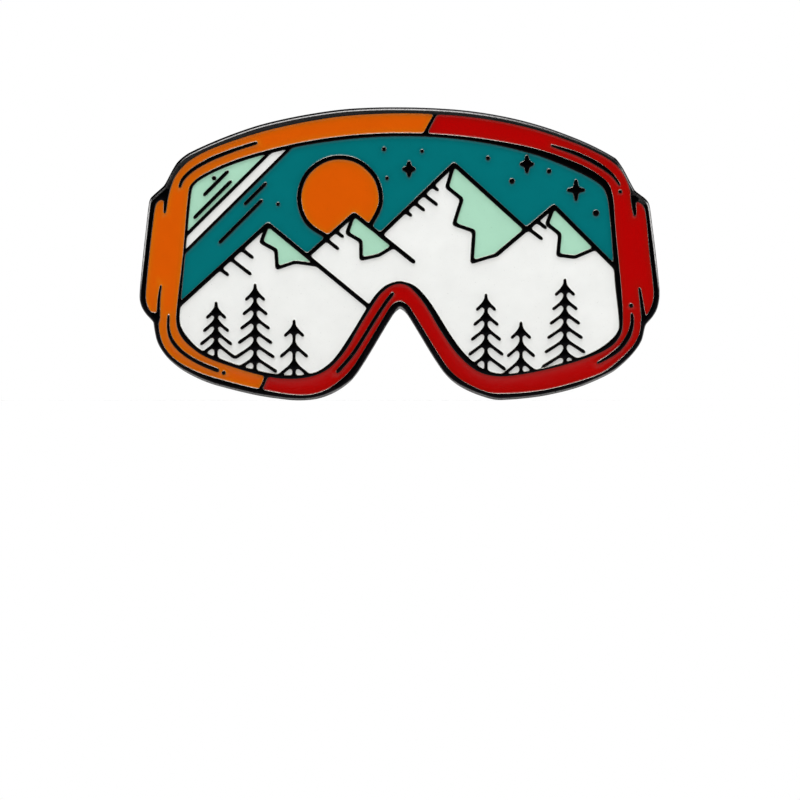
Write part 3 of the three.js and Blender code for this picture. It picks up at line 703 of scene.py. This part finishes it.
ENAMEL_ROWS = [(0.04, 1), (0.1, 1), (0.2, 2), (0.4, 4), (0.7, 7)]
ENAMEL_GRID = 0.6


def poured(node):
    """The enamel in one pocket: level, but for a rim that creeps up the wall and a slight dish."""
    lines = outlines_of(node, (POCKET_FLOOR + ENAMEL_LEVEL) / 2)
    lines = [shifted(line, SHOULDER - FIT) for line in lines]

    def top(_, away):
        creep, sink = CLIMB * np.exp(-away / CLIMB_REACH), DISH * (1 - np.exp(-away / DISH_REACH))
        return ENAMEL_LEVEL + creep - sink

    surfaces = [field(lines, [ENAMEL_ROWS] * len(lines), ENAMEL_GRID, top), level(lines, ENAMEL_FOOT)]
    surfaces += [wall(line, ENAMEL_LEVEL + CLIMB, ENAMEL_FOOT) for line in lines]
    made = closed_mesh(f"{node}_poured", surfaces)
    away = distance_from(lines)(points_of(made)[:, :2])
    attribute(made, "edge", np.exp(-away / EDGE_REACH))
    stands_for(made, node, ENAMELS[SLOTS[node]])


struck_metal()
for node in sorted(SLOTS):
    if node.startswith("enamel_"):
        poured(node)

# ---------------------------------------------------------------- profiles and turned parts

SIDES = 96  # of a turned part
CURVE_STEP = 0.06  # between points along a smooth curve
CUT_MOST = 0.45  # a rounded corner takes at most this share of a side
CUT_POINTS = (0, 0.25, 0.5, 0.75, 1)  # places of its points along the round
ON_AXIS = 1e-6


def smooth_curve(points):
    """A fine open curve through points that are further apart."""
    points = np.array(points, float)
    knots = run_along(points)
    slopes = np.gradient(points, knots, axis=0)
    places = np.linspace(0, knots[-1], max(3, round(knots[-1] / CURVE_STEP)))
    span = np.clip(np.searchsorted(knots, places, side="right") - 1, 0, len(knots) - 2)
    width = (knots[span + 1] - knots[span])[:, None]
    t = ((places - knots[span])[:, None]) / width
    return hermite(t, points[span], width * slopes[span], points[span + 1], width * slopes[span + 1])


def softened(profile, radius, closed):
    """A profile of [radius, along] points with each corner rounded off."""
    points = [np.array(p, float) for p in profile]
    out = []
    last = len(points) - 1
    for i, here in enumerate(points):
        if not closed and i in (0, last):
            out.append(here)
            continue
        back, ahead = points[i - 1] - here, points[(i + 1) % len(points)] - here
        to_back, to_ahead = np.linalg.norm(back), np.linalg.norm(ahead)
        cut = min(radius, CUT_MOST * to_back, CUT_MOST * to_ahead)
        start, end = here + back / to_back * cut, here + ahead / to_ahead * cut
        out += [(1 - t) ** 2 * start + 2 * t * (1 - t) * here + t**2 * end for t in CUT_POINTS]
    return out


def lathed(name, profile, axis, foot, closed, relief=None):
    """A turned piece round an axis along Y, from [radius, distance behind foot] points in mm.

    An open profile starts and ends on the axis. relief gives an extra distance along Y at a radius, a
    distance behind foot and an angle.
    """
    solid = bmesh.new()
    rings = []
    for radius, along in profile:
        if radius < ON_AXIS:
            rings.append([solid.verts.new((axis[0] * MM, (foot + along) * MM, axis[1] * MM))])
            continue
        ring = []
        for i in range(SIDES):
            angle = 2 * math.pi * i / SIDES
            lift = relief(radius, along, angle) if relief else 0
            x, z = axis[0] + radius * math.cos(angle), axis[1] + radius * math.sin(angle)
            ring.append(solid.verts.new((x * MM, (foot + along + lift) * MM, z * MM)))
        rings.append(ring)
    pairs = list(zip(rings, rings[1:]))
    if closed:
        pairs.append((rings[-1], rings[0]))
    for low, high in pairs:
        for i in range(SIDES):
            j = (i + 1) % SIDES
            if len(low) == 1:
                solid.faces.new((low[0], high[i], high[j]))
            elif len(high) == 1:
                solid.faces.new((low[i], low[j], high[0]))
            else:
                solid.faces.new((low[i], low[j], high[j], high[i]))
    bmesh.ops.recalc_face_normals(solid, faces=solid.faces)
    return finished(name, solid, PART_SHARP)


def middle(node):
    """The [right, up] middle of a CAD node in mm."""
    low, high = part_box(node)
    return ((low.x + high.x) / 2 / MM, (low.z + high.z) / 2 / MM)


# ---------------------------------------------------------------- posts

HEAD, SHANK, NECK = 2.0, 0.55, 0.43  # radii
NECK_AT = 5.75  # behind the back face
POST_ROUND = 0.09


def post(side):
    """A nail post: a round head brazed into its seat, a shank with a neck for the jaws, and a point."""
    node = f"post_{side}"
    low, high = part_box(node)
    foot, tip = low.y / MM, high.y / MM
    profile = [
        (0, foot), (HEAD, foot), (HEAD, 0.03), (1.0, 0.05), (0.66, 0.09), (SHANK, 0.22),
        (SHANK, NECK_AT - 0.15), (NECK, NECK_AT), (NECK, NECK_AT + 0.3), (SHANK, NECK_AT + 0.45),
        (SHANK, tip - 0.95), (0.42, tip - 0.45), (0.2, tip - 0.08), (0, tip),
    ]
    made = lathed(f"{node}_turned", softened(profile, POST_ROUND, False), middle(node), 0, False)
    stands_for(made, node, TURNED)


# ---------------------------------------------------------------- clutches

SHEET = 0.35
SHEET_ROUND = 0.1
SHELL_ROUND = 0.14
FLANGE, LIP, CUP, CUP_INSIDE, POST_HOLE = 5.7, 5.35, 3.2, 2.9, 0.75  # radii
ROLL_FROM, ROLL, CUP_HEIGHT = 0.25, 0.75, 1.9  # heights over the clutch's foot
PIPS, PIP_RING, PIP_WIDTH, PIP_HEIGHT = 12, 4.35, 0.3, 0.2
PIP_FACE = (0.3, 0.5)  # only the face between these heights has pips
PIP_STEP = 0.15  # and it gets a ring of points this often
FLAT_CLIMB = 0.01  # a stretch of the profile that climbs no more than this is flat

# along the middle of a wing's sheet: distance from the post, height over the clutch's foot
WING_FOLD = [[0.79, 0.95], [0.8, 1.4], [1.3, 1.72], [2.2, 1.98], [3.4, 2.8], [4.6, 3.9], [5.1, 4.7]]
# and its half width at some distances from the post
WING_OUT = [0, 1.9, 2.3, 2.75, 3.4, 4.3, 5, 5.45, 5.6]
WING_HALF = [0.8, 0.8, 1.1, 1.9, 2.45, 2.6, 2.2, 1.2, 0]
WIDTH_PASSES = 8  # times that the half width is smoothed
TIP_FROM, TIP_LENGTH, TIP_SHAPE = 1.3, 1.36, 2.4  # the leaf's round end
BLUNT = 0.5  # a wing's ends are this share of its thickness
FLAT_POINTS = 17  # across each face of the sheet
BEND = (30, 60, 90, 120, 150)  # degrees round the sheet's edge

# grooves across the finger leaf, at distances along it
GRIP_AT, GRIP_PITCH, GRIP_DEPTH = 4.9, 0.62, 0.07
GRIP_FROM, GRIP_TO = 3.6, 5.8
GRIP_HALF = 0.72  # of the leaf's half width
STRIP_BEVEL, STRIP_SEGMENTS = 0.04, 2


def clutch_shell(side):
    """The pressed disc of a clutch, with its rolled edge, a ring of pips and the cup."""
    node = f"clutch_{side}_shell"
    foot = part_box(node)[0].y / MM
    corners = softened([
        (POST_HOLE, 0), (LIP, 0), (FLANGE, ROLL_FROM), (FLANGE, ROLL), (LIP + 0.02, ROLL),
        (LIP - 0.05, SHEET), (4.8, SHEET), (PIP_RING, SHEET), (3.9, SHEET), (CUP + 0.15, SHEET),
        (CUP, SHEET + 0.2), (CUP, CUP_HEIGHT), (CUP_INSIDE, CUP_HEIGHT), (CUP_INSIDE, SHEET),
        (POST_HOLE, SHEET),
    ], SHELL_ROUND, True)

    def pips(radius, along, angle):
        """Small bumps round the flange, pressed out towards the back."""
        if along < PIP_FACE[0] or along > PIP_FACE[1]:
            return 0
        ring = math.exp(-(((radius - PIP_RING) / PIP_WIDTH) ** 2))
        return PIP_HEIGHT * ring * max(0, math.cos(PIPS * angle)) ** 2

    # flat stretches from the flange's back face on get enough rings of points for the pips
    profile = []
    for a, b in zip(corners, corners[1:]):
        profile.append(a)
        if a[1] >= PIP_FACE[0] and abs(a[1] - b[1]) <= FLAT_CLIMB:
            count = int(np.linalg.norm(b - a) / PIP_STEP)
            profile += [a + (b - a) * (i / count) for i in range(1, count)]
    profile.append(corners[-1])
    made = lathed(f"{node}_pressed", profile, middle(node), foot, True, pips)
    stands_for(made, node, PRESSED)


def clutch_wing(side, place):
    """A wing: sheet folded from the jaw out to the finger leaf, with round edges and pressed grips."""
    node = f"clutch_{side}_wing_{place}"
    shell = f"clutch_{side}_shell"
    low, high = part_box(node)
    axis = middle(shell)
    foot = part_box(shell)[0].y / MM
    way = 1 if (low.x + high.x) / 2 / MM > axis[0] else -1
    fold = smooth_curve(WING_FOLD)
    widths = np.interp(fold[:, 0], WING_OUT, WING_HALF)
    for _ in range(WIDTH_PASSES):
        widths[1:-1] = (widths[:-2] + 2 * widths[1:-1] + widths[2:]) / 4
    tangents = np.gradient(fold, axis=0)
    tangents /= np.linalg.norm(tangents, axis=1, keepdims=True)
    normals = np.column_stack([-tangents[:, 1], tangents[:, 0]])
    run = run_along(fold)
    widths *= np.sqrt(1 - np.clip((run - run[-1] + TIP_FROM) / TIP_LENGTH, 0, 1) ** TIP_SHAPE)

    # a ring round the sheet's section: across one face, round the edge, and back across the other
    flat = np.linspace(-1, 1, FLAT_POINTS)
    bend = np.radians(BEND)
    solid = bmesh.new()
    rings = []
    for at, centre, normal, half in zip(run, fold, normals, widths):
        from_end = min(at, run[-1] - at)
        blunt = math.sqrt(1 - max(0, 1 - from_end / SHEET_ROUND) ** 2)
        thick = SHEET / 2 * (BLUNT + (1 - BLUNT) * blunt)
        groove = GRIP_DEPTH * max(0, math.cos(2 * math.pi * (at - GRIP_AT) / GRIP_PITCH)) ** 4
        groove *= GRIP_FROM < at < GRIP_TO
        body = half - SHEET_ROUND
        ring = [(s * body, thick - groove * max(0, 1 - (abs(s) / GRIP_HALF) ** 6)) for s in flat]
        ring += [(body + SHEET_ROUND * math.sin(a), thick * math.cos(a)) for a in bend]
        ring += [(s * body, -thick) for s in flat[::-1]]
        ring += [(-body - SHEET_ROUND * math.sin(a), -thick * math.cos(a)) for a in bend]
        verts = []
        for across, lift in ring:
            out, along = centre + normal * lift
            spot = (axis[0] + way * out, foot + along, axis[1] + across)
            verts.append(solid.verts.new([c * MM for c in spot]))
        rings.append(verts)
    for a, b in zip(rings, rings[1:]):
        for i in range(len(a)):
            j = (i + 1) % len(a)
            solid.faces.new((a[i], a[j], b[j], b[i]))
    solid.faces.new(rings[0])
    solid.faces.new(rings[-1])
    bmesh.ops.recalc_face_normals(solid, faces=solid.faces)
    stands_for(finished(f"{node}_pressed", solid, PART_SHARP), node, PRESSED)


def clutch_strip(side):
    """The spring strip keeps its CAD shape, with its edges broken."""
    strip = frame["nodes"][f"clutch_{side}_strip"]
    strip.data.materials.clear()
    strip.data.materials.append(PRESSED)
    broken = strip.modifiers.new("broken_edges", "BEVEL")
    broken.width = STRIP_BEVEL * MM
    broken.segments = STRIP_SEGMENTS
    broken.limit_method = "ANGLE"
    broken.angle_limit = math.radians(SHARP)


for side in ("left", "right"):
    post(side)
    clutch_shell(side)
    clutch_strip(side)
    for place in ("inner", "outer"):
        clutch_wing(side, place)

# ---------------------------------------------------------------- studio, in metres

VIEW_WIDTH = 0.08  # across the picture at the pin's face
LENS = 100  # mm, as is the sensor
SENSOR = 36
SIGHT = -0.015  # height that the camera looks at: the pin fills the upper half of the picture
NEAREST = 0.001

# azimuth, elevation, distance, size and radiance. Azimuth 0 is in front of the pin, and 90 to its right
LIGHTS = {
    "key": (-14, 54, 0.36, 0.28, 3.76),
    "overhead": (90, 74, 0.34, 0.24, 3.6),
    "left": (-84, 10, 0.4, 0.18, 3.0),
    "right": (84, 20, 0.4, 0.24, 3.0),
    "rear": (160, 42, 0.36, 0.2, 3.2),
}
BACKDROP = (1, 1, 1, 1)
ROOM = (0.1, 0.1, 0.105, 1)

FLOOR_HALF = 3.0
FLOOR_CELLS = 24
FLOOR_GAP = 0.00005
FLOOR_COLOURS = ((0.8, 0.8, 0.8), (0.84, 0.84, 0.835))
FLOOR_FADE = (0.05, 0.16)  # distances at which the floor begins to fade and is white


def camera():
    data = bpy.data.cameras.new("camera")
    data.lens = LENS
    data.sensor_width = SENSOR
    made = bpy.data.objects.new("camera", data)
    bpy.context.scene.collection.objects.link(made)
    made.location = (0, -PLATE * MM - VIEW_WIDTH * LENS / SENSOR, SIGHT)
    made.rotation_euler = (math.pi / 2, 0, 0)
    data.clip_start = NEAREST
    bpy.context.scene.camera = made


def softbox(name, azimuth, elevation, distance, size, radiance):
    """A square soft light that faces the pin."""
    data = bpy.data.lights.new(name, "AREA")
    data.shape = "SQUARE"
    data.size = size
    data.energy = radiance * math.pi * size**2
    made = bpy.data.objects.new(name, data)
    bpy.context.scene.collection.objects.link(made)
    a, e = math.radians(azimuth), math.radians(elevation)
    way = Vector((math.sin(a) * math.cos(e), -math.cos(a) * math.cos(e), math.sin(e)))
    made.location = way * distance
    made.rotation_mode = "QUATERNION"
    made.rotation_quaternion = way.to_track_quat("Z", "Y")
    made.visible_camera = False


def surroundings():
    """A white backdrop, which lights the pin only as a dim grey room."""
    world = bpy.data.worlds.new("room")
    world.use_nodes = True
    bpy.context.scene.world = world
    tree = world.node_tree
    tree.nodes.clear()
    seen = tree.nodes.new("ShaderNodeBackground")
    seen.inputs["Color"].default_value = BACKDROP
    felt = tree.nodes.new("ShaderNodeBackground")
    felt.inputs["Color"].default_value = ROOM
    rays = tree.nodes.new("ShaderNodeLightPath")
    either = tree.nodes.new("ShaderNodeMixShader")
    out = tree.nodes.new("ShaderNodeOutputWorld")
    tree.links.new(rays.outputs["Is Camera Ray"], either.inputs[0])
    tree.links.new(felt.outputs[0], either.inputs[1])
    tree.links.new(seen.outputs[0], either.inputs[2])
    tree.links.new(either.outputs[0], out.inputs["Surface"])


def floor():
    """A pale floor that the pin stands on. Away from the pin the camera sees it fade to white."""
    solid = bmesh.new()
    bmesh.ops.create_grid(solid, x_segments=FLOOR_CELLS, y_segments=FLOOR_CELLS, size=FLOOR_HALF)
    bmesh.ops.translate(solid, verts=solid.verts, vec=(0, 0, cad_box[0].z - FLOOR_GAP))
    made = finished("floor", solid, SHARP)
    look = Look("pale_floor", Roughness=0.9)
    look.paint(look.mix(look.noise(14, 4), *FLOOR_COLOURS))
    look.bumps((look.noise(0.5, 5), 0.01))
    away = look.node("ShaderNodeVectorMath", operation="LENGTH")
    look.link(look.places, away.inputs[0])
    far = look.span(away.outputs["Value"], 0, 1, *FLOOR_FADE)
    seen = look.node("ShaderNodeLightPath").outputs["Is Camera Ray"]
    share = look.maths("MULTIPLY", far, seen)
    white = look.node("ShaderNodeEmission")
    either = look.node("ShaderNodeMixShader")
    look.link(share, either.inputs[0])
    look.link(look.shader.outputs[0], either.inputs[1])
    look.link(white.outputs[0], either.inputs[2])
    look.link(either.outputs[0], look.tree.nodes["Material Output"].inputs["Surface"])
    made.data.materials.append(look.material)


camera()
for name, settings in LIGHTS.items():
    softbox(name, *settings)
surroundings()
floor()
bpy.context.scene.view_settings.view_transform = "Standard"
